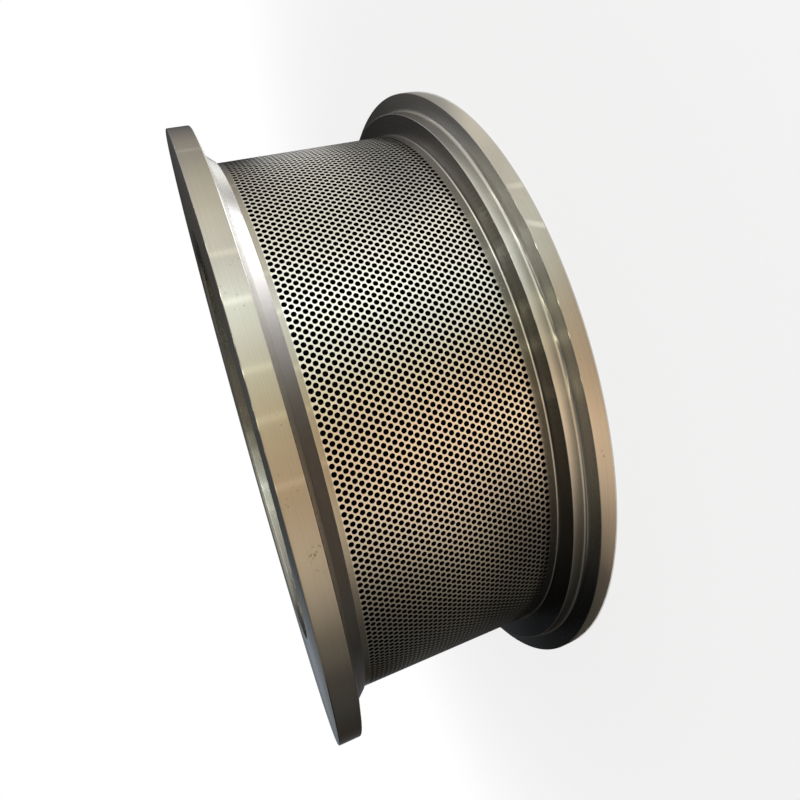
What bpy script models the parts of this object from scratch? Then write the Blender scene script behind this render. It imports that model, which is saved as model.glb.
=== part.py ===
"""Ring die of a pellet mill: one turned and drilled steel ring.

The ring stands on its wide flange, with its axis along +Z and its origin at the
centre of the flange's end face. All sizes are in metres.
"""

import math

import bmesh
import bpy
from mathutils import Matrix

# The bore, and the wall that the holes are drilled through.
BORE_RADIUS = 0.2100
WALL = 0.0585

# How far each shoulder stands out from the surface beside it.
STEP_RISE = 0.0200
FLANGE_RISE = 0.0170
SHOULDER_RISE = 0.0102
RIM_RISE = 0.0248

# Heights of the bands along the axis, from the flange at the foot to the rim on top.
FLANGE_HEIGHT = 0.0150
STEP_HEIGHT = 0.0123
FACE_HEIGHT = 0.1693
CONE_HEIGHT = 0.0115
BACK_HEIGHT = 0.0055
RIM_HEIGHT = 0.0192

# Broken edges, and the fillets left by the turning tool.
EDGE_BREAK = 0.0010
BORE_BREAK = 0.0030
FLANGE_FILLET = 0.0035
STEP_FILLET = 0.0020
CONE_FILLET = 0.0060

# The drilled field. The holes of a row share one height, and every other row is
# turned by half a pitch, so that each hole sits between four others.
HOLES_PER_ROW = 38
HOLE_DIAMETER = 0.0135
ROW_SPACING = 0.0278
BLANK_BELOW = 0.0165
BLANK_ABOVE = 0.0125

# Facets of the model.
FACETS_PER_HOLE = 2
HOLE_SIDES = 8
FILLET_FACET = 0.0050

STEEL_COLOUR = (0.46, 0.44, 0.41, 1.0)
STEEL_ROUGHNESS = 0.28
EDGE_ANGLE = math.radians(30)
MERGE_DISTANCE = 0.00001

FACE_RADIUS = BORE_RADIUS + WALL
STEP_RADIUS = FACE_RADIUS + STEP_RISE
FLANGE_RADIUS = STEP_RADIUS + FLANGE_RISE
SHOULDER_RADIUS = FACE_RADIUS + SHOULDER_RISE
RIM_RADIUS = SHOULDER_RADIUS + RIM_RISE

FLANGE_TOP = FLANGE_HEIGHT
STEP_TOP = FLANGE_TOP + STEP_HEIGHT
FACE_TOP = STEP_TOP + FACE_HEIGHT
CONE_TOP = FACE_TOP + CONE_HEIGHT
RIM_BOTTOM = CONE_TOP + BACK_HEIGHT
RIM_TOP = RIM_BOTTOM + RIM_HEIGHT

FACETS = FACETS_PER_HOLE * HOLES_PER_ROW


def clear_scene():
    """Remove whatever objects the file opened with."""
    for thing in list(bpy.data.objects):
        bpy.data.objects.remove(thing, do_unlink=True)


def new_collection(name):
    """Return a fresh collection linked to the scene."""
    collection = bpy.data.collections.new(name)
    bpy.context.scene.collection.children.link(collection)
    return collection


def direction(start, end):
    """Return the unit vector from start to end, and the distance."""
    across = end[0] - start[0]
    up = end[1] - start[1]
    length = math.hypot(across, up)
    return (across / length, up / length), length


def fillet(before, corner, after, radius):
    """Return the points of an arc that rounds the corner of an outline."""
    u, length_before = direction(corner, before)
    v, length_after = direction(corner, after)
    half_angle = math.acos(u[0] * v[0] + u[1] * v[1]) / 2
    # The arc uses up no more than half of either neighbouring line.
    reach = min(radius / math.tan(half_angle), length_before / 2, length_after / 2)
    arc_radius = reach * math.tan(half_angle)
    middle, _ = direction((0.0, 0.0), (u[0] + v[0], u[1] + v[1]))
    to_centre = arc_radius / math.sin(half_angle)
    centre = (corner[0] + middle[0] * to_centre, corner[1] + middle[1] * to_centre)
    start = math.atan2(corner[1] + u[1] * reach - centre[1], corner[0] + u[0] * reach - centre[0])
    end = math.atan2(corner[1] + v[1] * reach - centre[1], corner[0] + v[0] * reach - centre[0])
    turn = math.remainder(end - start, 2 * math.pi)
    steps = max(1, round(abs(turn) * arc_radius / FILLET_FACET))
    points = []
    for step in range(steps + 1):
        angle = start + turn * step / steps
        x = centre[0] + arc_radius * math.cos(angle)
        z = centre[1] + arc_radius * math.sin(angle)
        points.append((x, z))
    return points


def chamfer(before, corner, after, size):
    """Return the two points that break the corner of an outline."""
    points = []
    for end in (before, after):
        unit, length = direction(corner, end)
        # The break uses up no more than half of either neighbouring line.
        reach = min(size, length / 2)
        points.append((corner[0] + unit[0] * reach, corner[1] + unit[1] * reach))
    return points


def sharp(before, corner, after, size):
    """Return the corner itself."""
    return [corner]


def ring_section():
    """Return the closed section of the ring as (radius, height) points.

    It runs down the outer side from the rim to the foot, and back up the bore.
    """
    corners = [
        ((RIM_RADIUS, RIM_TOP), chamfer, EDGE_BREAK),
        ((RIM_RADIUS, RIM_BOTTOM), chamfer, EDGE_BREAK),
        ((SHOULDER_RADIUS, CONE_TOP), sharp, 0.0),
        ((FACE_RADIUS, FACE_TOP), fillet, CONE_FILLET),
        ((FACE_RADIUS, STEP_TOP), fillet, STEP_FILLET),
        ((STEP_RADIUS, STEP_TOP), chamfer, EDGE_BREAK),
        ((STEP_RADIUS, FLANGE_TOP), fillet, FLANGE_FILLET),
        ((FLANGE_RADIUS, FLANGE_TOP), chamfer, EDGE_BREAK),
        ((FLANGE_RADIUS, 0.0), chamfer, EDGE_BREAK),
        ((BORE_RADIUS, 0.0), chamfer, BORE_BREAK),
        ((BORE_RADIUS, RIM_TOP), chamfer, BORE_BREAK),
    ]
    points = []
    for index, (corner, shape, size) in enumerate(corners):
        before = corners[index - 1][0]
        after = corners[(index + 1) % len(corners)][0]
        points.extend(shape(before, corner, after, size))
    return points


def row_heights():
    """Return the height of each drilled row, centred in the drilled field."""
    lowest = STEP_TOP + BLANK_BELOW
    field = FACE_TOP - BLANK_ABOVE - lowest
    gaps = int(field / ROW_SPACING)
    first = lowest + (field - gaps * ROW_SPACING) / 2
    return [first + row * ROW_SPACING for row in range(gaps + 1)]


def make_blank(collection):
    """Turn the undrilled ring from its section with a Screw modifier."""
    section = ring_section()
    shape = bmesh.new()
    verts = [shape.verts.new((radius, 0.0, height)) for radius, height in section]
    for start, end in zip(verts, verts[1:] + verts[:1]):
        shape.edges.new((start, end))
    mesh = bpy.data.meshes.new("ring_die")
    shape.to_mesh(mesh)
    shape.free()
    ring = bpy.data.objects.new("ring_die", mesh)
    collection.objects.link(ring)
    turning = ring.modifiers.new("turned section", "SCREW")
    turning.axis = "Z"
    turning.angle = 2 * math.pi
    turning.steps = FACETS
    turning.render_steps = FACETS
    turning.use_merge_vertices = True
    turning.merge_threshold = MERGE_DISTANCE
    return ring


def add_drill(shape, spin, height):
    """Add one round cutter to a bmesh, pointing outwards from the axis."""
    start = BORE_RADIUS - BORE_BREAK
    end = FACE_RADIUS + EDGE_BREAK
    place = (
        Matrix.Rotation(spin, 4, "Z")
        @ Matrix.Translation(((start + end) / 2, 0.0, height))
        @ Matrix.Rotation(math.pi / 2, 4, "Y")
        @ Matrix.Rotation(math.pi / HOLE_SIDES, 4, "Z")
    )
    bmesh.ops.create_cone(
        shape,
        cap_ends=True,
        segments=HOLE_SIDES,
        radius1=HOLE_DIAMETER / 2,
        radius2=HOLE_DIAMETER / 2,
        depth=end - start,
        matrix=place,
    )


def make_drills(collection):
    """Make one cutter object that holds every drilled hole."""
    pitch = 2 * math.pi / HOLES_PER_ROW
    # Each hole starts at the middle of a facet of the turned wall.
    first = math.pi / FACETS
    shape = bmesh.new()
    for row, height in enumerate(row_heights()):
        stagger = 0.5 * (row % 2)
        for hole in range(HOLES_PER_ROW):
            add_drill(shape, first + (hole + stagger) * pitch, height)
    mesh = bpy.data.meshes.new("drills")
    shape.to_mesh(mesh)
    shape.free()
    drills = bpy.data.objects.new("drills", mesh)
    drills.hide_render = True
    drills.display_type = "WIRE"
    collection.objects.link(drills)
    return drills


def drill(ring, drills):
    """Cut the holes through the wall of the ring."""
    cut = ring.modifiers.new("drilled holes", "BOOLEAN")
    cut.operation = "DIFFERENCE"
    cut.solver = "EXACT"
    cut.object = drills


def steel():
    """Return the bright turned steel of the ring."""
    material = bpy.data.materials.new("turned steel")
    material.use_nodes = True
    shader = material.node_tree.nodes["Principled BSDF"]
    shader.inputs["Base Color"].default_value = STEEL_COLOUR
    shader.inputs["Metallic"].default_value = 1.0
    shader.inputs["Roughness"].default_value = STEEL_ROUGHNESS
    return material


def smooth(ring):
    """Shade the turned bands smooth and keep their edges sharp."""
    bpy.context.view_layer.update()
    graph = bpy.context.evaluated_depsgraph_get()
    finished = bpy.data.meshes.new_from_object(ring.evaluated_get(graph))
    finished.name = ring.name
    ring.modifiers.clear()
    ring.data = finished
    finished.shade_smooth()
    finished.set_sharp_from_angle(angle=EDGE_ANGLE)


def main():
    """Build the ring die."""
    clear_scene()
    parts = new_collection("ring_die")
    cutters = new_collection("ring_die_cutters")
    ring = make_blank(parts)
    ring.data.materials.append(steel())
    drills = make_drills(cutters)
    drill(ring, drills)
    smooth(ring)


main()
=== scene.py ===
"""Pellet mill ring die: the looks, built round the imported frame.

The die stands on its wide flange. A turned rim closes it above, a turned flange below, and between
them the wall is drilled right through with 38 staggered rows of pellet holes.
"""

import logging
import math
from collections.abc import Callable
from dataclasses import dataclass, field
from enum import Enum

import bmesh
import bpy
from mathutils import Matrix, Vector


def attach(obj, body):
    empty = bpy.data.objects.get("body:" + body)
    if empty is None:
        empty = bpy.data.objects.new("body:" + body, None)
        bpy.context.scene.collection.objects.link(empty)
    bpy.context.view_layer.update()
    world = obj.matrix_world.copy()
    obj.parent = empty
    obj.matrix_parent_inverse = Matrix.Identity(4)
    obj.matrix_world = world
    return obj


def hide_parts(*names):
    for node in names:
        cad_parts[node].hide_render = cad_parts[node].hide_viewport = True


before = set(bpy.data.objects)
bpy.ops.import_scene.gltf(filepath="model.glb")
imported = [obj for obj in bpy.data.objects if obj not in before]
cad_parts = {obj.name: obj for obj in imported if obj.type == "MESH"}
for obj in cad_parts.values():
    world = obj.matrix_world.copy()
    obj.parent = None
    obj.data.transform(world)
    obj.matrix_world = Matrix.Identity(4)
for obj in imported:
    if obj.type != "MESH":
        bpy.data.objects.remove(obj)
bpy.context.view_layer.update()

LOG = logging.getLogger("ring_die")
NODE = "ring_die"
BODY = "root"

TAU = 2.0 * math.pi
MM = 0.001
PAIR = tuple[float, float]
COLOUR = tuple[float, float, float]
BLACK = (0.0, 0.0, 0.0)
Piece = bpy.types.Object
Socket = bpy.types.NodeSocket

# Sizes that every piece shares, in metres
BORE_RADIUS = 210.0 * MM
MOUTH_RADIUS = 213.0 * MM
FACE_RADIUS = 268.5 * MM
STEP_RADIUS = 288.5 * MM
RIM_RADIUS = 303.5 * MM
FLANGE_RADIUS = 305.5 * MM
FLANGE_TOP = 15.0 * MM
STEP_TOP = 27.3 * MM
WIDTH = 232.8 * MM
ROWS = 38
HOLES_PER_ROW = 290
ROW_SPACING = 4.185 * MM
FIRST_ROW = 37.19 * MM
LAST_ROW = FIRST_ROW + (ROWS - 1) * ROW_SPACING
ROW_TO_EDGE = 2.27 * MM
BAND_BOTTOM = FIRST_ROW - ROW_TO_EDGE
BAND_TOP = LAST_ROW + ROW_TO_EDGE

# How far up a face of a turned end looks: below the first value it is the rim's back, above the
# second it is cut square, and the rest are round
LOOKS_DOWN = -0.3
LOOKS_UP = 0.8
ABOVE_FLANGE = 20.0 * MM
BESIDE_FACE = FACE_RADIUS + 0.1 * MM
BESIDE_STEP = STEP_RADIUS + 0.5 * MM


class Zone(Enum):
    """The turned ends' surfaces, each with its own finish and tint of painted light and shade."""

    ROUND = "round"
    FLANGE_FACE = "flange face"
    STEP_FACE = "step face"
    END_FACE = "end face"
    BACK = "back"
    MOUTH = "mouth"
    FOOT = "foot"
    STEP_ROUND = "step round"

    @classmethod
    def of(cls, polygon: bpy.types.MeshPolygon) -> "Zone":
        """Tell which zone a face of a turned end belongs to, by its place and the way it looks."""
        height, radius = polygon.center.z, math.hypot(polygon.center.x, polygon.center.y)
        if radius < MOUTH_RADIUS:
            return cls.MOUTH
        if polygon.normal.z < LOOKS_DOWN:
            return cls.BACK
        if polygon.normal.z < LOOKS_UP:
            if height > BAND_BOTTOM or radius > BESIDE_STEP:
                return cls.ROUND
            return cls.FOOT if radius < BESIDE_FACE else cls.STEP_ROUND
        if height > BAND_TOP:
            return cls.END_FACE
        return cls.STEP_FACE if height > ABOVE_FLANGE else cls.FLANGE_FACE


def start_clean() -> None:
    """Leave edit mode and deselect everything."""
    if bpy.context.object is not None and bpy.context.object.mode != "OBJECT":
        bpy.ops.object.mode_set(mode="OBJECT")
    bpy.ops.object.select_all(action="DESELECT")


def edit_all() -> None:
    """Open the active object's mesh for editing, with everything selected."""
    bpy.ops.object.mode_set(mode="EDIT")
    bpy.ops.mesh.select_all(action="SELECT")


def face_out() -> None:
    """Turn all the faces outwards and leave edit mode."""
    bpy.ops.mesh.select_all(action="SELECT")
    bpy.ops.mesh.normals_make_consistent(inside=False)
    bpy.ops.object.mode_set(mode="OBJECT")


def activate(obj: Piece) -> None:
    """Make one object the only selected and the active one."""
    start_clean()
    obj.select_set(True)
    bpy.context.view_layer.objects.active = obj


def pick_edges(wanted: Callable[[Vector], bool], open_only: bool = False) -> None:
    """Select the edges of the mesh being edited whose two ends pass a test.

    Args:
        wanted: Says yes or no to a place, in the object's own metres.
        open_only: Whether to take only the edges that have a face on one side.
    """
    bpy.ops.mesh.select_mode(type="EDGE")
    bpy.ops.mesh.select_all(action="DESELECT")
    mesh = bmesh.from_edit_mesh(bpy.context.object.data)
    for edge in mesh.edges:
        if (edge.is_boundary or not open_only) and all(wanted(v.co) for v in edge.verts):
            edge.select_set(True)
    mesh.select_flush_mode()
    bmesh.update_edit_mesh(bpy.context.object.data, loop_triangles=False, destructive=False)


def apply_modifiers(obj: Piece) -> None:
    """Apply every modifier of an object, from the top down."""
    activate(obj)
    for modifier in list(obj.modifiers):
        bpy.ops.object.modifier_apply(modifier=modifier.name)


@dataclass(frozen=True)
class Station:
    """One corner of a turned section.

    radius and height place it, edge is how far the corner is broken, and steps how finely.
    """

    radius: float
    height: float
    edge: float = 0.0
    steps: int = 3


@dataclass
class TurnedRing:
    """A full turned ring, worked corner by corner round its section as on a lathe."""

    name: str
    stations: tuple[Station, ...]
    facets: int = 2 * HOLES_PER_ROW
    crease: float = math.radians(28.0)
    weld: float = 0.001 * MM

    def build(self) -> Piece:
        """Turn the ring and return it."""
        start_clean()
        first = self.stations[0]
        bpy.ops.mesh.primitive_circle_add(
            vertices=self.facets, radius=first.radius, location=(0.0, 0.0, first.height)
        )
        ring = bpy.context.object
        ring.name = ring.data.name = self.name
        bpy.ops.object.transform_apply(location=True, rotation=True, scale=True)
        edit_all()
        for last, station in zip(self.stations, self.stations[1:]):
            self.draw_out(last, station)
        self.close()
        for station in self.stations:
            if station.edge > 0.0:
                self.break_corner(station)
        bpy.ops.mesh.select_all(action="SELECT")
        bpy.ops.mesh.remove_doubles(threshold=self.weld)
        face_out()
        bpy.ops.object.shade_smooth_by_angle(angle=self.crease)
        self.even_out(ring)
        return ring

    @staticmethod
    def even_out(ring: Piece) -> None:
        """Keep the wide faces true right up to their broken edges."""
        even = ring.modifiers.new("even", "WEIGHTED_NORMAL")
        even.mode = "FACE_AREA"
        even.weight = 100
        even.keep_sharp = True
        apply_modifiers(ring)

    @staticmethod
    def draw_out(last: Station, station: Station) -> None:
        """Extrude the selected loop from one corner of the section to the next."""
        rise = station.height - last.height
        bpy.ops.mesh.extrude_region_move(TRANSFORM_OT_translate={"value": (0.0, 0.0, rise)})
        grow = station.radius / last.radius
        bpy.ops.transform.resize(value=(grow, grow, 1.0), center_override=(0.0, 0.0, 0.0))

    def close(self) -> None:
        """Bridge the last loop back to the first."""
        ends = (self.stations[0], self.stations[-1])
        pick_edges(lambda place: any(on_corner(place, end) for end in ends), open_only=True)
        bpy.ops.mesh.bridge_edge_loops()

    @staticmethod
    def break_corner(station: Station) -> None:
        """Bevel the loop of one corner."""
        pick_edges(lambda place: on_corner(place, station))
        bpy.ops.mesh.bevel(
            offset_type="OFFSET", offset=station.edge, segments=station.steps, profile=0.5,
            affect="EDGES", clamp_overlap=True,
        )


def on_corner(place: Vector, station: Station, reach: float = 0.02 * MM) -> bool:
    """Whether a place lies on the loop of one corner of a turned section."""
    return (
        abs(place.z - station.height) < reach
        and abs(math.hypot(place.x, place.y) - station.radius) < reach
    )


@dataclass
class RimEnd(TurnedRing):
    """The narrow clamping rim, with its steep back and the run-out below it."""

    name: str = "rim_end"
    stations: tuple[Station, ...] = (
        Station(FACE_RADIUS, BAND_TOP),
        Station(FACE_RADIUS, 199.00 * MM, 0.60 * MM, 3),
        Station(270.9 * MM, 199.30 * MM, 0.50 * MM, 3),
        Station(278.7 * MM, 208.10 * MM, 0.60 * MM, 2),
        Station(RIM_RADIUS, 213.60 * MM, 0.90 * MM, 3),
        Station(RIM_RADIUS, WIDTH, 0.90 * MM, 3),
        Station(MOUTH_RADIUS, WIDTH, 0.50 * MM, 2),
        Station(BORE_RADIUS, 229.80 * MM, 0.50 * MM, 2),
        Station(BORE_RADIUS, BAND_TOP),
    )


@dataclass
class FlangeEnd(TurnedRing):
    """The wide flange that the die stands on, with the step above it."""

    name: str = "flange_end"
    stations: tuple[Station, ...] = (
        Station(FACE_RADIUS, BAND_BOTTOM),
        Station(FACE_RADIUS, STEP_TOP, 2.00 * MM, 4),
        Station(STEP_RADIUS, STEP_TOP, 0.90 * MM, 3),
        Station(STEP_RADIUS, FLANGE_TOP, 3.50 * MM, 6),
        Station(FLANGE_RADIUS, FLANGE_TOP, 0.90 * MM, 3),
        Station(FLANGE_RADIUS, 0.0, 0.90 * MM, 3),
        Station(MOUTH_RADIUS, 0.0, 0.50 * MM, 2),
        Station(BORE_RADIUS, 3.00 * MM, 0.50 * MM, 2),
        Station(BORE_RADIUS, BAND_BOTTOM),
    )


@dataclass
class DrilledBand:
    """The drilled stretch of the wall, in equal segments that close the circle.

    One hole and the metal round it are modelled flat, laid out in staggered rows, closed to a
    solid slab and bent to the circle. The segment is then copied round the ring.
    """

    name: str = "drilled_band"
    segments: int = 5
    outlet_radius: float = 2.12 * MM
    throat_radius: float = 1.60 * MM
    inlet_radius: float = 1.98 * MM
    inlet_depth: float = 0.80 * MM
    hole_sides: int = 10
    plate_sides: int = 6
    edge_reach: float = 0.3
    crease: float = math.radians(40.0)
    weld: float = 0.004 * MM
    holes_across: int = field(init=False)
    pitch: float = field(init=False)
    wall: float = field(init=False)
    spread: float = field(init=False)

    def __post_init__(self) -> None:
        """Work out the sizes that follow from the shared ones."""
        self.holes_across = HOLES_PER_ROW // self.segments
        self.pitch = TAU * FACE_RADIUS / HOLES_PER_ROW
        self.wall = FACE_RADIUS - BORE_RADIUS
        self.spread = FACE_RADIUS / BORE_RADIUS

    def build(self) -> list[Piece]:
        """Build one segment and copy it round, and return all of them."""
        first = self.model_hole()
        self.lay_rows(first)
        self.close_sides(first)
        self.bend(first)
        made = [first]
        for turn in range(1, self.segments):
            made.append(self.copy_round(first, turn))
        for number, segment in enumerate(made, start=1):
            segment.name = segment.data.name = f"{self.name}_{number}"
        return made

    def model_hole(self) -> Piece:
        """Model one hole with its share of the outer face and of the bore, laid flat."""
        start_clean()
        bpy.ops.mesh.primitive_circle_add(
            vertices=self.hole_sides, radius=self.outlet_radius,
            location=(0.0, 0.0, 0.0), rotation=(math.pi / 2.0, 0.0, 0.0),
        )
        hole = bpy.context.object
        bpy.ops.object.transform_apply(location=True, rotation=True, scale=True)
        edit_all()
        squeeze = 1.0 + (self.spread - 1.0) * (1.0 - self.inlet_depth / self.wall)
        self.sink(self.wall - self.inlet_depth, self.throat_radius / self.outlet_radius, squeeze)
        self.sink(self.inlet_depth, self.inlet_radius / self.throat_radius, self.spread / squeeze)
        for depth in (0.0, self.wall):
            self.face_plate(depth)
        face_out()
        return hole

    @staticmethod
    def sink(depth: float, grow: float, stretch: float) -> None:
        """Extrude the open end of the hole further in and resize it.

        Args:
            depth: How much deeper it goes.
            grow: How much wider the hole gets.
            stretch: The extra width along the row that the bend takes away again.
        """
        bpy.ops.mesh.extrude_region_move(TRANSFORM_OT_translate={"value": (0.0, depth, 0.0)})
        bpy.ops.transform.resize(
            value=(grow * stretch, 1.0, grow), center_override=(0.0, 0.0, 0.0)
        )

    def face_plate(self, depth: float) -> None:
        """Add the metal round one end of the hole: a six-sided plate, open where the hole is."""
        bpy.ops.mesh.select_all(action="DESELECT")
        bpy.ops.mesh.primitive_circle_add(
            vertices=self.plate_sides, radius=1.0,
            location=(0.0, depth, 0.0), rotation=(math.pi / 2.0, 0.0, 0.0),
        )
        bpy.ops.transform.resize(
            value=(self.pitch / math.sqrt(3.0), 1.0, ROW_SPACING * 2.0 / 3.0),
            center_override=(0.0, depth, 0.0),
        )
        pick_edges(lambda place: abs(place.y - depth) < self.weld)
        bpy.ops.mesh.fill(use_beauty=True)

    def lay_rows(self, hole: Piece) -> None:
        """Repeat the hole along the row and the rows up the wall, every other one shifted."""
        activate(hole)
        edit_all()
        half = (self.holes_across - 0.5) / 2.0
        bpy.ops.transform.translate(value=(-half * self.pitch, 0.0, FIRST_ROW))
        bpy.ops.mesh.duplicate_move(
            TRANSFORM_OT_translate={"value": (self.pitch / 2.0, 0.0, ROW_SPACING)}
        )
        bpy.ops.mesh.select_all(action="SELECT")
        bpy.ops.mesh.remove_doubles(threshold=self.weld)
        bpy.ops.object.mode_set(mode="OBJECT")
        self.repeat(hole, self.holes_across, (self.pitch, 0.0, 0.0))
        self.repeat(hole, ROWS // 2, (0.0, 0.0, 2.0 * ROW_SPACING))
        apply_modifiers(hole)

    def repeat(self, obj: Piece, count: int, step: tuple[float, float, float]) -> None:
        """Give an object an array modifier that welds each copy to the next."""
        array = obj.modifiers.new("repeat", "ARRAY")
        array.count = count
        array.use_relative_offset = False
        array.use_constant_offset = True
        array.constant_offset_displace = step
        array.use_merge_vertices = True
        array.merge_threshold = self.weld

    def close_sides(self, slab: Piece) -> None:
        """Bridge the outline of the outer face to the outline of the bore."""
        activate(slab)
        edit_all()
        bpy.ops.mesh.remove_doubles(threshold=self.weld)
        reach = ROW_SPACING * self.edge_reach
        for edge, row, side in ((BAND_BOTTOM, FIRST_ROW, -1.0), (BAND_TOP, LAST_ROW, 1.0)):
            pick_edges(lambda place: side * (place.z - row) > reach, open_only=True)
            bpy.ops.transform.resize(value=(1.0, 1.0, 0.0), center_override=(0.0, 0.0, edge))
        pick_edges(lambda place: True, open_only=True)
        bpy.ops.mesh.bridge_edge_loops()
        face_out()

    def bend(self, slab: Piece) -> None:
        """Bend the flat slab to the circle, with its outer face on the face radius."""
        activate(slab)
        bend = slab.modifiers.new("bend", "SIMPLE_DEFORM")
        bend.deform_method = "BEND"
        bend.deform_axis = "Z"
        bend.angle = (self.holes_across + 0.5) * self.pitch / FACE_RADIUS
        apply_modifiers(slab)
        edit_all()
        bpy.ops.transform.translate(value=(0.0, -FACE_RADIUS, 0.0))
        bpy.ops.object.mode_set(mode="OBJECT")
        bpy.ops.object.shade_smooth_by_angle(angle=self.crease)

    def copy_round(self, first: Piece, turn: int) -> Piece:
        """Copy the finished segment and turn the copy to its place in the circle."""
        activate(first)
        bpy.ops.object.duplicate(linked=False)
        copy = bpy.context.object
        copy.data.transform(Matrix.Rotation(TAU * turn / self.segments, 4, "Z"))
        return copy


class Graph:
    """A node tree with short ways to add nodes to it."""

    def __init__(self, tree: bpy.types.NodeTree) -> None:
        """Take the tree that the nodes go into."""
        self.tree = tree

    @classmethod
    def of(cls, owner: bpy.types.ID) -> "Graph":
        """Switch on the nodes of a material or a world and take its tree."""
        owner.use_nodes = True
        return cls(owner.node_tree)

    def add(self, kind: str, **settings: object) -> bpy.types.Node:
        """Add a node and set its own properties."""
        node = self.tree.nodes.new(kind)
        for name, value in settings.items():
            setattr(node, name, value)
        return node

    def feed(self, socket: Socket, value: object) -> None:
        """Link a socket to another one, or give it a plain value."""
        if isinstance(value, Socket):
            self.tree.links.new(value, socket)
        elif isinstance(value, tuple) and len(value) == 3 and socket.type == "RGBA":
            socket.default_value = (*value, 1.0)
        elif value is not None:
            socket.default_value = value

    def feed_all(self, sockets: object, values: dict[str, object]) -> None:
        """Feed several sockets by their names."""
        for name, value in values.items():
            self.feed(sockets[name], value)

    def math(self, operation: str, *values: object, clamp: bool = False) -> Socket:
        """Add a Math node and return its value."""
        node = self.add("ShaderNodeMath", operation=operation, use_clamp=clamp)
        for socket, value in zip(node.inputs, values):
            self.feed(socket, value)
        return node.outputs[0]

    def times(self, first: object, second: object) -> Socket:
        """Multiply two values and return the result."""
        return self.math("MULTIPLY", first, second)

    def place(self) -> Socket:
        """Return the point that is shaded, in the object's own metres."""
        return self.add("ShaderNodeTexCoord").outputs["Object"]

    def span(self, value: object, low: float, high: float, to: PAIR = (0.0, 1.0)) -> Socket:
        """Map a stretch of values smoothly to another and return the result."""
        node = self.add("ShaderNodeMapRange", interpolation_type="SMOOTHSTEP")
        for socket, given in zip(node.inputs, (value, low, high, *to)):
            self.feed(socket, given)
        return node.outputs[0]

    def blend(self, share: object, first: object, second: object) -> Socket:
        """Mix two colours and return the result."""
        node = self.add("ShaderNodeMix", data_type="RGBA")
        self.feed(node.inputs[0], share)
        self.feed(node.inputs[6], first)
        self.feed(node.inputs[7], second)
        return node.outputs[2]

    def join(self, x: object, y: object, z: object) -> Socket:
        """Put three values together as a vector."""
        node = self.add("ShaderNodeCombineXYZ")
        for socket, value in zip(node.inputs, (x, y, z)):
            self.feed(socket, value)
        return node.outputs[0]

    def noise(
        self, vector: object, scale: object, detail: float, rough: float = 0.5, w: object = None
    ) -> Socket:
        """Add a noise texture, in four dimensions where w is given, and return its value."""
        node = self.add("ShaderNodeTexNoise", noise_dimensions="3D" if w is None else "4D")
        given = {"Vector": vector, "Scale": scale, "Detail": detail, "Roughness": rough}
        self.feed_all(node.inputs, given if w is None else {**given, "W": w})
        return node.outputs["Fac"]

    def to_the_lens(self) -> Socket:
        """Return one for the rays that make a picture of what they meet, and nought for light."""
        path = self.add("ShaderNodeLightPath").outputs
        seen = self.math("MAXIMUM", path["Is Camera Ray"], path["Is Glossy Ray"])
        return self.math("MAXIMUM", seen, path["Is Transmission Ray"])


class Effect:
    """A shader node group that several finishes share, made the first time it is asked for."""

    name: str = ""
    inputs: tuple[tuple[str, float], ...] = ()
    outputs: tuple[str, ...] = ()

    @classmethod
    def tree(cls) -> bpy.types.NodeTree:
        """Return the group, building it once."""
        made = bpy.data.node_groups.get(cls.name)
        if made is not None:
            return made
        tree = bpy.data.node_groups.new(cls.name, "ShaderNodeTree")
        for name, value in cls.inputs:
            socket = tree.interface.new_socket(name, in_out="INPUT", socket_type="NodeSocketFloat")
            socket.default_value = value
        for name in cls.outputs:
            tree.interface.new_socket(name, in_out="OUTPUT", socket_type="NodeSocketFloat")
        graph = Graph(tree)
        ins = graph.add("NodeGroupInput").outputs
        outs = graph.add("NodeGroupOutput").inputs
        cls.fill(graph, {s.name: s for s in ins if s.name}, {s.name: s for s in outs if s.name})
        return tree

    @classmethod
    def fill(cls, graph: Graph, ins: dict, outs: dict) -> None:
        """Add the group's own nodes."""
        raise NotImplementedError

    @classmethod
    def place(cls, graph: Graph, **values: object) -> dict[str, Socket]:
        """Place the group in a material and return its outputs by name."""
        node = graph.add("ShaderNodeGroup", node_tree=cls.tree())
        for name, value in values.items():
            graph.feed(node.inputs[name.replace("_", " ")], value)
        return {socket.name: socket for socket in node.outputs}


class RingCoordinates(Effect):
    """Where a point lies on the ring: its direction from the axis, its radius and height.

    Turn is the direction as an angle, from the camera's side and growing towards +X.
    """

    name = "ring_coordinates"
    outputs = ("Across", "Along", "Radius", "Height", "Turn")

    @classmethod
    def fill(cls, graph: Graph, ins: dict, outs: dict) -> None:
        """Split the object coordinates and divide by the radius."""
        split = graph.add("ShaderNodeSeparateXYZ")
        graph.feed(split.inputs[0], graph.place())
        x, y, z = split.outputs
        radius = graph.math("SQRT", graph.math("ADD", graph.times(x, x), graph.times(y, y)))
        across = graph.math("DIVIDE", x, radius)
        along = graph.math("DIVIDE", y, radius)
        turn = graph.math("ARCTAN2", across, graph.times(along, -1.0))
        found = {"Across": across, "Along": along, "Radius": radius, "Height": z, "Turn": turn}
        graph.feed_all(outs, found)


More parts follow.
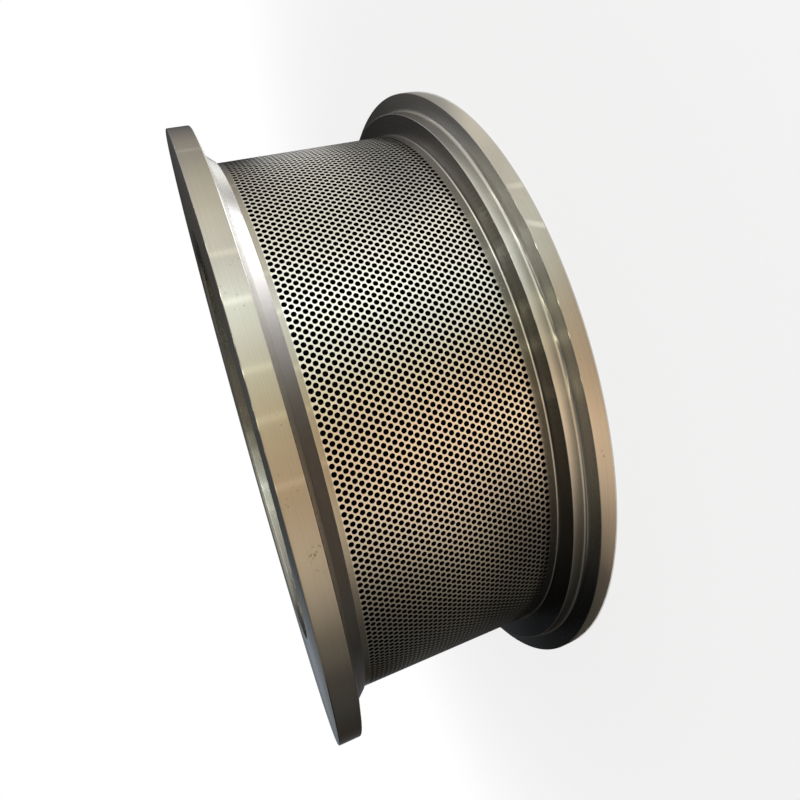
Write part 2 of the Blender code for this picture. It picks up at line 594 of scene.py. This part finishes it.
class TurningMarks(Effect):
    """Streaks that run round the ring, as a lathe tool leaves them.

    layers gives each output's fineness, sweep and detail.
    """

    name = "turning_marks"
    inputs = (("Fineness", 900.0), ("Sweep", 3.0))
    outputs = ("Streaks", "Fine")
    layers = (("Streaks", 1.0, 1.0, 4.0), ("Fine", 6.0, 2.5, 2.0))
    raggedness = 0.6

    @classmethod
    def fill(cls, graph: Graph, ins: dict, outs: dict) -> None:
        """Stretch noise along the ring's own direction."""
        at = RingCoordinates.place(graph)
        for name, finer, longer, detail in cls.layers:
            turn = graph.times(ins["Sweep"], longer)
            pitch = graph.times(ins["Fineness"], finer)
            vector = graph.join(
                graph.times(at["Across"], turn),
                graph.times(at["Along"], turn),
                graph.times(at["Height"], pitch),
            )
            out = graph.times(at["Radius"], pitch)
            graph.feed(outs[name], graph.noise(vector, 1.0, detail, cls.raggedness, w=out))


class HoleDistance(Effect):
    """How far a point of the drilled wall is from the middle of the nearest hole, in radii.

    rows gives how the even and the odd rows are shifted, in pitches, and lifted, in row pairs.
    """

    name = "hole_distance"
    inputs = (("Radius", 2.12 * MM),)
    outputs = ("Distance",)
    rows = ((0.25, 0.5), (0.75, 0.0))
    columns_before = 500.5
    rows_before = 10.0

    @classmethod
    def fill(cls, graph: Graph, ins: dict, outs: dict) -> None:
        """Fold the wall onto one hole of the even rows and one of the odd, and take the nearer."""
        at = RingCoordinates.place(graph)
        column = graph.times(at["Turn"], HOLES_PER_ROW / TAU)
        height = graph.math("SUBTRACT", at["Height"], FIRST_ROW)
        row = graph.math("DIVIDE", height, 2.0 * ROW_SPACING)
        pitch = graph.times(at["Radius"], TAU / HOLES_PER_ROW)
        found = []
        for shift, lift in cls.rows:
            side = graph.math("FRACT", graph.math("ADD", column, cls.columns_before + shift))
            side = graph.times(graph.math("SUBTRACT", side, 0.5), pitch)
            rise = graph.math("FRACT", graph.math("ADD", row, cls.rows_before + lift))
            rise = graph.times(graph.math("SUBTRACT", rise, 0.5), 2.0 * ROW_SPACING)
            squares = [graph.times(value, value) for value in (side, rise)]
            found.append(graph.math("SQRT", graph.math("ADD", *squares)))
        nearer = graph.math("MINIMUM", *found)
        graph.feed(outs["Distance"], graph.math("DIVIDE", nearer, ins["Radius"]))


class RustSpecks(Effect):
    """Small scattered rust spots in loose groups."""

    name = "rust_specks"
    inputs = (("Scale", 230.0), ("Size", 0.11), ("Spread", 0.58))
    outputs = ("Mask",)
    cloud_scale = 22.0

    @classmethod
    def fill(cls, graph: Graph, ins: dict, outs: dict) -> None:
        """Keep the cells of a cell pattern that lie in patches of a cloud."""
        place = graph.place()
        cells = graph.add("ShaderNodeTexVoronoi", feature="F1")
        graph.feed_all(cells.inputs, {"Vector": place, "Scale": ins["Scale"]})
        cloud = graph.noise(place, cls.cloud_scale, 3.0)
        inside = graph.math("LESS_THAN", cells.outputs["Distance"], ins["Size"])
        patch = graph.math("GREATER_THAN", cloud, ins["Spread"])
        graph.feed(outs["Mask"], graph.times(inside, patch))


@dataclass(frozen=True)
class SteelFinish:
    """Turned steel: a tint with streaks round the ring, clouds of handling marks and rust specks.

    The shade settings paint shade into the colour: the base colour is darkened on one side of the
    die, as if less light fell there, by the given share, from where across the die, in radii, it
    starts to where it is full. The ranges say which values of a pattern become none of an effect
    and all of it.
    """

    name: str
    tint: COLOUR = (0.62, 0.59, 0.54)
    dull: COLOUR = (0.44, 0.40, 0.35)
    rust: COLOUR = (0.26, 0.16, 0.09)
    rough: float = 0.20
    rough_spread: float = 0.05
    grain: float = 0.06
    fineness: float = 1500.0
    sweep: float = 1.6
    streak: float = 0.18
    streak_range: PAIR = (0.35, 0.70)
    cloud: float = 0.35
    cloud_scale: float = 9.0
    cloud_range: PAIR = (0.35, 0.75)
    fine_range: PAIR = (0.30, 0.70)
    specks: float = 0.35
    specks_rough: float = 0.30
    relief: float = 0.05 * MM
    anisotropy: float = 0.88
    quarter_turn: float = 0.25
    painted_shade: float = 0.0
    painted_shade_side: PAIR = (0.0, 1.0)

    def material(self) -> bpy.types.Material:
        """Make the material."""
        material = bpy.data.materials.new(self.name)
        material.diffuse_color = (*self.tint, 1.0)
        graph = Graph.of(material)
        self.dress(graph, graph.tree.nodes["Principled BSDF"])
        return material

    def dress(self, graph: Graph, shader: bpy.types.Node) -> None:
        """Wire colour, roughness and relief into the shader."""
        marks = TurningMarks.place(graph, Fineness=self.fineness, Sweep=self.sweep)
        streaks = graph.span(marks["Streaks"], *self.streak_range)
        cloud = graph.noise(graph.place(), self.cloud_scale, 4.0, 0.55)
        cloud = graph.times(graph.span(cloud, *self.cloud_range), self.cloud)
        share = graph.math("ADD", graph.times(streaks, self.streak), cloud, clamp=True)
        colour = graph.blend(share, self.tint, self.dull)
        # Painted shade: the colour is darkened towards one side of the die
        colour = graph.blend(self.painted_shading(graph), colour, BLACK)
        specks = RustSpecks.place(graph)["Mask"]
        colour = graph.blend(graph.times(specks, self.specks), colour, self.rust)
        colour = self.local_colour(graph, colour)
        low, high = self.rough - self.rough_spread / 2.0, self.rough + self.rough_spread
        rough = graph.span(marks["Fine"], *self.fine_range, (low, high))
        rough = graph.math("ADD", rough, graph.times(specks, self.specks_rough), clamp=True)
        tangent = graph.add("ShaderNodeTangent", direction_type="RADIAL", axis="Z")
        bump = graph.add("ShaderNodeBump")
        relief = {"Strength": self.grain, "Distance": self.relief, "Height": marks["Streaks"]}
        graph.feed_all(bump.inputs, relief)
        graph.feed_all(shader.inputs, {
            "Base Color": colour,
            "Roughness": rough,
            "Metallic": 1.0,
            "Anisotropic": self.anisotropy,
            "Anisotropic Rotation": self.quarter_turn,
            "Tangent": tangent.outputs[0],
            "Normal": bump.outputs[0],
        })

    def painted_shading(self, graph: Graph) -> Socket:
        """Return the painted shade at a point: how much its colour is darkened by its place across
        the die.
        """
        across = RingCoordinates.place(graph)["Across"]
        return graph.span(across, *self.painted_shade_side, (0.0, self.painted_shade))

    def local_colour(self, graph: Graph, colour: Socket) -> Socket:
        """Change the colour where a finish has marks of its own."""
        return colour


@dataclass(frozen=True)
class RimFinish(SteelFinish):
    """Turned steel with a patch of close rust pits on the rim's cylinder."""

    turn: float = -16.4
    half_turn: PAIR = (2.3, 0.9)
    height: float = 217.8 * MM
    half_height: PAIR = (7.5 * MM, 3.0 * MM)
    pits: float = 0.85
    pit_scale: float = 560.0
    pit_size: float = 0.42
    pit_spread: float = 0.40
    ragged_scale: float = 260.0
    ragged_range: PAIR = (0.46, 0.56)

    def local_colour(self, graph: Graph, colour: Socket) -> Socket:
        """Darken the pits that lie in the patch."""
        at = RingCoordinates.place(graph)
        off = graph.math("SUBTRACT", at["Turn"], math.radians(self.turn))
        limits = (math.radians(value) for value in self.half_turn)
        inside = graph.span(graph.math("ABSOLUTE", off), *limits)
        above = graph.math("ABSOLUTE", graph.math("SUBTRACT", at["Height"], self.height))
        inside = graph.times(inside, graph.span(above, *self.half_height))
        specks = RustSpecks.place(
            graph, Scale=self.pit_scale, Size=self.pit_size, Spread=self.pit_spread
        )
        cloud = graph.noise(graph.place(), self.ragged_scale, 3.0)
        inside = graph.times(inside, graph.span(cloud, *self.ragged_range))
        share = graph.times(inside, specks["Mask"])
        return graph.blend(graph.times(share, self.pits), colour, self.rust)


@dataclass(frozen=True)
class DrilledFinish(SteelFinish):
    """Turned steel with a painted highlight: a thin bright ring at the mouth of every hole."""

    # Painted highlight: the near-white colour of the bright ring round each hole
    mouth: COLOUR = (1.0, 0.98, 0.92)
    mouth_radius: float = 2.12 * MM
    painted_highlight_range: PAIR = (1.30, 1.06)
    painted_highlight_share: float = 0.85

    def local_colour(self, graph: Graph, colour: Socket) -> Socket:
        """Paint a highlight on the metal close to the hole, fainter on the painted-shade side."""
        away = HoleDistance.place(graph, Radius=self.mouth_radius)["Distance"]
        share = graph.math("SUBTRACT", self.painted_highlight_share, self.painted_shading(graph))
        ring = graph.times(graph.span(away, *self.painted_highlight_range), share)
        return graph.blend(ring, colour, self.mouth)


# The finishes of the drilled band. The face's brighter tint and its darker side are painted
# light and shade, and the hole walls are painted near black as the shade inside the holes.
DRILLED_FACE = DrilledFinish(
    "turned_steel_drilled", tint=(0.78, 0.75, 0.69), dull=(0.60, 0.56, 0.50),
    painted_shade=0.40, painted_shade_side=(0.42, 0.80),
)
# Painted shade: the walls inside the holes get a near-black tint so the holes look dark
HOLE_WALL_PAINTED_SHADE = SteelFinish(
    "hole_wall_painted_shade", tint=(0.06, 0.05, 0.045), dull=(0.03, 0.025, 0.02), rough=0.45, anisotropy=0.0,
)

# The finish of each zone of the turned ends, with painted light and shade: the same steel is
# given a lighter or darker tint in each zone, and some zones a painted shade on one side, for
# how the light falls there.
FINISHES_WITH_PAINTED_LIGHT: dict[Zone, SteelFinish] = {
    Zone.ROUND: RimFinish("turned_steel_round", rough=0.11, anisotropy=0.80),
    Zone.FLANGE_FACE: SteelFinish(
        "turned_steel_faced", tint=(0.43, 0.415, 0.38), dull=(0.33, 0.315, 0.29), rough=0.27,
        anisotropy=0.95, painted_shade=0.55, painted_shade_side=(-0.32, -0.62),
    ),
    Zone.BACK: SteelFinish(
        "turned_steel_back", tint=(1.0, 0.99, 0.98), dull=(0.88, 0.86, 0.84), rough=0.30,
        anisotropy=0.92, painted_shade=0.48, painted_shade_side=(0.30, -0.02),
    ),
    Zone.STEP_FACE: SteelFinish(
        "turned_steel_step", tint=(0.16, 0.148, 0.136), dull=(0.128, 0.116, 0.104), rough=0.27,
        anisotropy=0.90, painted_shade=0.38, painted_shade_side=(0.12, -0.22),
    ),
    Zone.MOUTH: SteelFinish(
        "turned_steel_mouth", tint=(1.0, 1.0, 0.92), dull=(0.74, 0.74, 0.66), rough=0.20,
        anisotropy=0.80, painted_shade=0.68, painted_shade_side=(-0.45, 0.15),
    ),
    Zone.END_FACE: SteelFinish(
        "turned_steel_end", tint=(0.98, 0.95, 0.92), dull=(0.57, 0.55, 0.53), rough=0.16,
        anisotropy=0.80, streak=0.6, painted_shade=0.47, painted_shade_side=(-0.46, -0.36),
    ),
    Zone.FOOT: SteelFinish(
        "turned_steel_foot", tint=(0.84, 0.82, 0.76), dull=(0.66, 0.63, 0.57), rough=0.15,
        anisotropy=0.80,
    ),
    Zone.STEP_ROUND: SteelFinish(
        "turned_steel_step_round", tint=(0.80, 0.79, 0.76), dull=(0.70, 0.68, 0.65), rough=0.22,
        anisotropy=0.90, painted_shade=0.38, painted_shade_side=(0.40, 0.72),
    ),
}


@dataclass(frozen=True)
class Stop:
    """One panel of the light tent: where it is round the die, in degrees, and its colour."""

    turn: float
    colour: COLOUR


@dataclass(frozen=True)
class Strip:
    """A narrow light that draws a thin streak across the turned faces.

    low, high and near are its turns, in degrees, where the rim, the faces cut square and the wide
    flange show it. A strip without a near turn stays off the ground.
    """

    low: float
    high: float
    colour: COLOUR
    near: float | None = None


@dataclass(frozen=True)
class LightTent:
    """A tent of pale, warm and dark panels round the die that only reflections show.

    Turned steel shows little but its surroundings, so the panels give it its light and dark
    sides. Turns are counted from the camera's side, and grow towards +X. ground is seen from the
    flange and the drilled face, below from the faces that look down, apron from higher up, wall
    from the upright faces and upper from the faces that look up. A pair says where a change
    starts and where it is full, as a height, a radius or a share.
    """

    name: str
    ground: tuple[Stop, ...]
    below: tuple[Stop, ...]
    apron: tuple[Stop, ...]
    wall: tuple[Stop, ...]
    upper: tuple[Stop, ...]
    strips: tuple[Strip, ...]
    radius: float = 1.3
    height: float = 1.3
    inner: float = 0.307
    lift: float = 0.4 * MM
    facets: int = 96
    outward: PAIR = (0.40, 0.62)
    steep: PAIR = (0.48, 0.36)
    rise: PAIR = (0.30, 0.42)
    fade: PAIR = (0.90, 1.25)
    foot: PAIR = (0.15, 0.10)
    foot_shade: float = 0.16
    roof: COLOUR = (0.24, 0.23, 0.20)
    gain: float = 8.0
    high_width: float = 2.0
    low_width: float = 2.8
    low_share: float = 0.09
    near_width: float = 1.5
    near_share: float = 0.075
    near_start: float = 0.316
    near_end: float = 0.340
    near_slope: float = 152.0
    core: float = 0.3

    def pitch(self) -> Piece:
        """Make the tent: a ground sheet round the die, a wall and a roof."""
        start_clean()
        bpy.ops.mesh.primitive_circle_add(
            vertices=self.facets, radius=self.inner, location=(0.0, 0.0, self.lift)
        )
        tent = bpy.context.object
        tent.name = tent.data.name = self.name
        bpy.ops.object.transform_apply(location=True, rotation=True, scale=True)
        edit_all()
        TurnedRing.draw_out(Station(self.inner, 0.0), Station(self.radius, 0.0))
        TurnedRing.draw_out(Station(self.radius, 0.0), Station(self.radius, self.height))
        bpy.ops.mesh.edge_face_add()
        bpy.ops.object.mode_set(mode="OBJECT")
        tent.data.materials.append(self.material())
        tent.visible_camera = False
        tent.visible_diffuse = False
        tent.visible_shadow = False
        return tent

    def material(self) -> bpy.types.Material:
        """Blend the panels' colours round the tent and up it."""
        material = bpy.data.materials.new(self.name)
        graph = Graph.of(material)
        nodes = graph.tree.nodes
        nodes.remove(nodes["Principled BSDF"])
        at = RingCoordinates.place(graph)
        share = graph.math("MULTIPLY_ADD", at["Turn"], 1.0 / TAU, 0.5)
        wall, upper, apron, ground, below = (
            self.ramp(graph, share, stops)
            for stops in (self.wall, self.upper, self.apron, self.ground, self.below)
        )
        foot = graph.span(at["Height"], *self.foot, (0.0, self.foot_shade))
        upright = self.paint_wall(graph, at, graph.blend(foot, wall, BLACK), upper)
        ground = self.paint_ground(graph, at, apron, ground)
        facing = graph.add("ShaderNodeLayerWeight").outputs["Facing"]
        ground = graph.blend(graph.span(facing, *self.steep), ground, below)
        glow = graph.add("ShaderNodeEmission")
        is_wall = graph.math("GREATER_THAN", at["Height"], 2.0 * self.lift)
        colour = graph.blend(is_wall, ground, upright)
        graph.feed_all(glow.inputs, {"Color": colour, "Strength": self.gain})
        graph.feed(nodes["Material Output"].inputs["Surface"], glow.outputs[0])
        return material

    def dim(self, colour: COLOUR) -> COLOUR:
        """Divide a colour by the gain, as a ramp holds nothing brighter than one."""
        return tuple(channel / self.gain for channel in colour)

    def paint_wall(self, graph: Graph, at: dict, wall: object, upper: object) -> Socket:
        """Run the wall up into the upper colours and the roof, with the strips over both."""
        high = graph.blend(graph.span(at["Height"], *self.fade), upper, self.dim(self.roof))
        for strip in self.strips:
            low_strip = (strip.low, self.low_width, strip.colour)
            high_strip = (strip.high, self.high_width, strip.colour)
            wall = self.light(graph, at["Turn"], wall, *low_strip, self.low_share)
            high = self.light(graph, at["Turn"], high, *high_strip, 1.0)
        return graph.blend(graph.span(at["Height"], *self.rise), wall, high)

    def paint_ground(self, graph: Graph, at: dict, apron: object, ground: object) -> Socket:
        """Lay the strips close to the flange and run the ground out into the apron's colours."""
        out = graph.math("SUBTRACT", at["Radius"], self.near_start)
        lean = graph.times(out, math.radians(self.near_slope))
        turn = graph.math("SUBTRACT", at["Turn"], lean)
        close = graph.span(at["Radius"], self.near_end, self.near_start, (0.0, self.near_share))
        for strip in self.strips:
            if strip.near is not None:
                near_strip = (strip.near, self.near_width, strip.colour)
                ground = self.light(graph, turn, ground, *near_strip, close)
        return graph.blend(graph.span(at["Radius"], *self.outward), ground, apron)

    def light(
        self, graph: Graph, turn: object, under: object,
        place: float, width: float, colour: COLOUR, share: object,
    ) -> Socket:
        """Lay one narrow light over the colours under it.

        Args:
            graph: The material it is added to.
            turn: Where the shaded point is round the die, in radians.
            under: What is under it.
            place: Where the middle of the light is, in degrees.
            width: How wide it is, in degrees.
            colour: Its colour.
            share: How much of its colour covers what is under it.

        Returns:
            The colours with the light laid over them.
        """
        off = graph.math("ABSOLUTE", graph.math("SUBTRACT", turn, math.radians(place)))
        half = math.radians(width / 2.0)
        cover = graph.times(graph.span(off, half, half * self.core), share)
        return graph.blend(cover, under, self.dim(colour))

    def ramp(self, graph: Graph, share: object, stops: tuple[Stop, ...]) -> Socket:
        """Add a colour ramp that runs through the panels' colours."""
        ramp = graph.add("ShaderNodeValToRGB")
        ramp.color_ramp.interpolation = "CARDINAL"
        marks = ramp.color_ramp.elements
        for number, stop in enumerate(stops):
            place = (stop.turn + 180.0) / 360.0
            mark = marks[number] if number < 2 else marks.new(place)
            mark.position = place
            mark.color = (*self.dim(stop.colour), 1.0)
        graph.feed(ramp.inputs[0], share)
        return ramp.outputs["Color"]


@dataclass
class Stage:
    """The pale floor, the soft light and the camera of the photograph."""

    floor_size: float = 12.0
    floor_colour: COLOUR = (0.86, 0.85, 0.84)
    floor_rough: float = 0.9
    near_white: float = 0.82
    whitening: PAIR = (0.32, 1.1)
    sky_light: float = 0.35
    lens: float = 28.5575
    sensor: float = 36.0
    nearest: float = 0.01
    shift: PAIR = (-0.02556, -0.04529)
    eye: tuple[float, float, float] = (0.00182, -0.69499, 0.24741)
    right: tuple[float, float, float] = (-0.27753, -0.28131, -0.91861)
    ahead: tuple[float, float, float] = (0.02724, 0.95348, -0.30022)

    def build(self) -> None:
        """Lay the floor, light the world and set the camera."""
        self.lay_floor()
        self.light_world()
        self.set_camera()

    def lay_floor(self) -> None:
        """Lay a wide pale floor that is white to the camera and keeps the shadow."""
        start_clean()
        bpy.ops.mesh.primitive_plane_add(size=self.floor_size)
        floor = bpy.context.object
        floor.name = "floor"
        material = bpy.data.materials.new("pale_floor")
        graph = Graph.of(material)
        shader = graph.tree.nodes["Principled BSDF"]
        plain = {"Base Color": self.floor_colour, "Roughness": self.floor_rough}
        graph.feed_all(shader.inputs, plain)
        away = graph.add("ShaderNodeVectorMath", operation="LENGTH")
        graph.feed(away.inputs[0], graph.place())
        white = graph.span(away.outputs["Value"], *self.whitening, (self.near_white, 1.0))
        glow = graph.add("ShaderNodeEmission")
        mix = graph.add("ShaderNodeMixShader")
        share = graph.times(graph.to_the_lens(), white)
        for socket, value in zip(mix.inputs, (share, shader.outputs[0], glow.outputs[0])):
            graph.feed(socket, value)
        graph.feed(graph.tree.nodes["Material Output"].inputs["Surface"], mix.outputs[0])
        floor.data.materials.append(material)

    def light_world(self) -> None:
        """Make the world white to the camera and soft light to the rest."""
        world = bpy.data.worlds.new("studio")
        bpy.context.scene.world = world
        graph = Graph.of(world)
        strength = graph.span(graph.to_the_lens(), 0.0, 1.0, (self.sky_light, 1.0))
        sky = {"Color": (1.0, 1.0, 1.0), "Strength": strength}
        graph.feed_all(graph.tree.nodes["Background"].inputs, sky)

    def set_camera(self) -> None:
        """Put the camera where the photograph was taken from."""
        data = bpy.data.cameras.new("camera")
        data.lens = self.lens
        data.sensor_width = self.sensor
        data.shift_x, data.shift_y = self.shift
        data.clip_start = self.nearest
        camera = bpy.data.objects.new("camera", data)
        bpy.context.collection.objects.link(camera)
        back = -Vector(self.ahead).normalized()
        across = Vector(self.right)
        across = (across - across.dot(back) * back).normalized()
        up = back.cross(across)
        turn = Matrix((across, up, back)).transposed().to_4x4()
        camera.matrix_world = Matrix.Translation(self.eye) @ turn
        bpy.context.scene.camera = camera


@dataclass
class RingDie:
    """The whole die: two turned ends and the drilled band between them."""

    rim: TurnedRing = field(default_factory=RimEnd)
    flange: TurnedRing = field(default_factory=FlangeEnd)
    band: DrilledBand = field(default_factory=DrilledBand)
    margin: float = 0.05 * MM

    def build(self) -> list[Piece]:
        """Build and dress every piece, attach it to the body and hide the CAD part it replaces."""
        ends = [self.rim.build(), self.flange.build()]
        segments = self.band.build()
        self.dress_ends(ends)
        self.dress_band(segments)
        for piece in ends + segments:
            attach(piece, BODY)
            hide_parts(NODE)
            triangles = sum(len(polygon.vertices) - 2 for polygon in piece.data.polygons)
            LOG.info("%s: %d triangles", piece.name, triangles)
        return ends + segments

    def dress_ends(self, ends: list[Piece]) -> None:
        """Give the turned ends their steel, with a finish and painted light and shade per zone."""
        for end in ends:
            for finish in FINISHES_WITH_PAINTED_LIGHT.values():
                end.data.materials.append(bpy.data.materials.get(finish.name) or finish.material())
            for polygon in end.data.polygons:
                polygon.material_index = list(FINISHES_WITH_PAINTED_LIGHT).index(Zone.of(polygon))

    def dress_band(self, segments: list[Piece]) -> None:
        """Give the drilled band its steel, with the hole walls painted near black as shade."""
        # The bore gets the same painted highlight ring round each inlet
        bore = DrilledFinish("bore_steel", mouth_radius=self.band.inlet_radius)
        materials = [finish.material() for finish in (DRILLED_FACE, bore, HOLE_WALL_PAINTED_SHADE)]
        for segment in segments:
            for material in materials:
                segment.data.materials.append(material)
            self.assign(segment)

    def assign(self, segment: Piece) -> None:
        """Tell outer face, bore and hole walls apart by where their faces lie."""
        for polygon in segment.data.polygons:
            radius = math.hypot(polygon.center.x, polygon.center.y)
            if radius > FACE_RADIUS - self.margin:
                polygon.material_index = 0
            elif radius < BORE_RADIUS + self.band.inlet_depth + self.margin:
                polygon.material_index = 1
            else:
                polygon.material_index = 2


# The light tent's panels, by turn in degrees, and its strips. A ramp has its two ends first.
GROUND = (
    Stop(-180.0, (0.26, 0.26, 0.27)),
    Stop(180.0, (0.26, 0.26, 0.27)),
    Stop(-130.0, (0.13, 0.13, 0.13)),
    Stop(-90.0, (0.03, 0.03, 0.03)),
    Stop(-62.0, (0.06, 0.055, 0.045)),
    Stop(-46.0, (0.09, 0.08, 0.065)),
    Stop(-37.0, (0.19, 0.155, 0.12)),
    Stop(-26.0, (0.56, 0.44, 0.32)),
    Stop(-14.0, (0.99, 0.76, 0.53)),
    Stop(-4.0, (0.79, 0.61, 0.42)),
    Stop(6.0, (0.71, 0.64, 0.49)),
    Stop(16.0, (0.85, 0.87, 0.77)),
    Stop(23.0, (0.92, 0.93, 0.84)),
    Stop(30.0, (0.83, 0.82, 0.74)),
    Stop(41.0, (0.84, 0.81, 0.72)),
    Stop(50.0, (0.52, 0.51, 0.48)),
    Stop(62.0, (0.36, 0.355, 0.335)),
    Stop(88.0, (0.29, 0.29, 0.28)),
    Stop(120.0, (0.27, 0.27, 0.27)),
    Stop(160.0, (0.26, 0.26, 0.27)),
)
BELOW = (
    Stop(-180.0, (0.075, 0.075, 0.08)),
    Stop(180.0, (0.13, 0.13, 0.14)),
    Stop(-131.0, (0.03, 0.03, 0.03)),
    Stop(-100.0, (0.05, 0.05, 0.045)),
    Stop(-60.0, (0.055, 0.05, 0.045)),
    Stop(-30.0, (0.075, 0.06, 0.05)),
    Stop(-5.0, (0.11, 0.095, 0.085)),
    Stop(12.0, (0.33, 0.295, 0.29)),
    Stop(30.0, (0.76, 0.73, 0.74)),
    Stop(46.0, (1.75, 1.73, 1.75)),
    Stop(66.0, (2.40, 2.40, 2.43)),
    Stop(82.0, (2.10, 2.10, 2.13)),
    Stop(106.0, (1.85, 1.85, 1.90)),
    Stop(132.0, (0.68, 0.68, 0.71)),
    Stop(156.0, (0.38, 0.38, 0.40)),
)
APRON = (
    Stop(-180.0, (0.24, 0.24, 0.25)),
    Stop(180.0, (0.24, 0.24, 0.25)),
    Stop(-130.0, (0.10, 0.10, 0.10)),
    Stop(-92.0, (0.065, 0.06, 0.052)),
    Stop(-76.0, (0.13, 0.115, 0.088)),
    Stop(-60.0, (0.32, 0.265, 0.20)),
    Stop(-40.0, (0.78, 0.61, 0.45)),
    Stop(-22.0, (0.95, 0.72, 0.50)),
    Stop(-8.0, (0.88, 0.67, 0.465)),
    Stop(8.0, (0.78, 0.70, 0.52)),
    Stop(20.0, (0.84, 0.86, 0.76)),
    Stop(30.0, (1.14, 1.17, 1.06)),
    Stop(40.0, (1.05, 1.06, 0.96)),
    Stop(50.0, (0.86, 0.86, 0.76)),
    Stop(60.0, (0.76, 0.75, 0.66)),
    Stop(75.0, (0.84, 0.83, 0.75)),
    Stop(92.0, (0.90, 0.88, 0.82)),
    Stop(112.0, (0.94, 0.93, 0.89)),
    Stop(134.0, (0.66, 0.66, 0.66)),
    Stop(155.0, (0.34, 0.34, 0.34)),
)
WALL = (
    Stop(-180.0, (0.045, 0.047, 0.05)),
    Stop(180.0, (0.045, 0.047, 0.05)),
    Stop(-165.0, (0.12, 0.135, 0.15)),
    Stop(-150.0, (0.26, 0.29, 0.32)),
    Stop(-130.0, (0.06, 0.06, 0.06)),
    Stop(-92.0, (0.07, 0.067, 0.06)),
    Stop(-76.0, (0.125, 0.112, 0.092)),
    Stop(-60.0, (0.30, 0.26, 0.20)),
    Stop(-40.0, (0.65, 0.54, 0.39)),
    Stop(-16.0, (0.63, 0.485, 0.31)),
    Stop(8.0, (0.79, 0.72, 0.51)),
    Stop(24.0, (1.03, 1.05, 0.91)),
    Stop(37.0, (1.24, 1.32, 1.22)),
    Stop(50.0, (1.02, 1.04, 0.96)),
    Stop(70.0, (0.86, 0.84, 0.72)),
    Stop(92.0, (0.56, 0.54, 0.47)),
    Stop(112.0, (0.33, 0.31, 0.28)),
    Stop(134.0, (0.10, 0.10, 0.10)),
    Stop(155.0, (0.055, 0.052, 0.045)),
)
UPPER = (
    Stop(-180.0, (0.04, 0.04, 0.04)),
    Stop(180.0, (0.06, 0.06, 0.06)),
    Stop(-150.0, (0.01, 0.01, 0.01)),
    Stop(-90.0, (0.03, 0.03, 0.03)),
    Stop(-55.0, (0.14, 0.12, 0.09)),
    Stop(-30.0, (0.44, 0.37, 0.28)),
    Stop(0.0, (0.56, 0.51, 0.41)),
    Stop(30.0, (0.64, 0.64, 0.55)),
    Stop(60.0, (0.88, 0.88, 0.81)),
    Stop(100.0, (0.60, 0.60, 0.62)),
    Stop(140.0, (0.11, 0.11, 0.11)),
)
STRIPS = (
    Strip(101.6, 106.0, (1.8, 1.7, 1.8)),
    Strip(52.1, 56.4, (4.0, 4.1, 3.4), near=25.1),
    Strip(36.5, 40.2, (6.0, 6.3, 6.0), near=17.8),
    Strip(16.3, 16.6, (3.2, 3.3, 2.4)),
    Strip(2.4, 2.4, (2.6, 2.5, 1.8)),
    Strip(-16.0, -16.6, (2.2, 1.9, 1.4)),
)


def main() -> None:
    """Build the die, the stage and the light, and note the sizes."""
    logging.basicConfig(level=logging.INFO, format="%(name)s %(message)s")
    bpy.context.scene.view_settings.view_transform = "Standard"
    RingDie().build()
    Stage().build()
    LightTent(
        "light_tent",
        ground=GROUND,
        below=BELOW,
        apron=APRON,
        wall=WALL,
        upper=UPPER,
        strips=STRIPS,
    ).pitch()


if __name__ == "__main__":
    main()
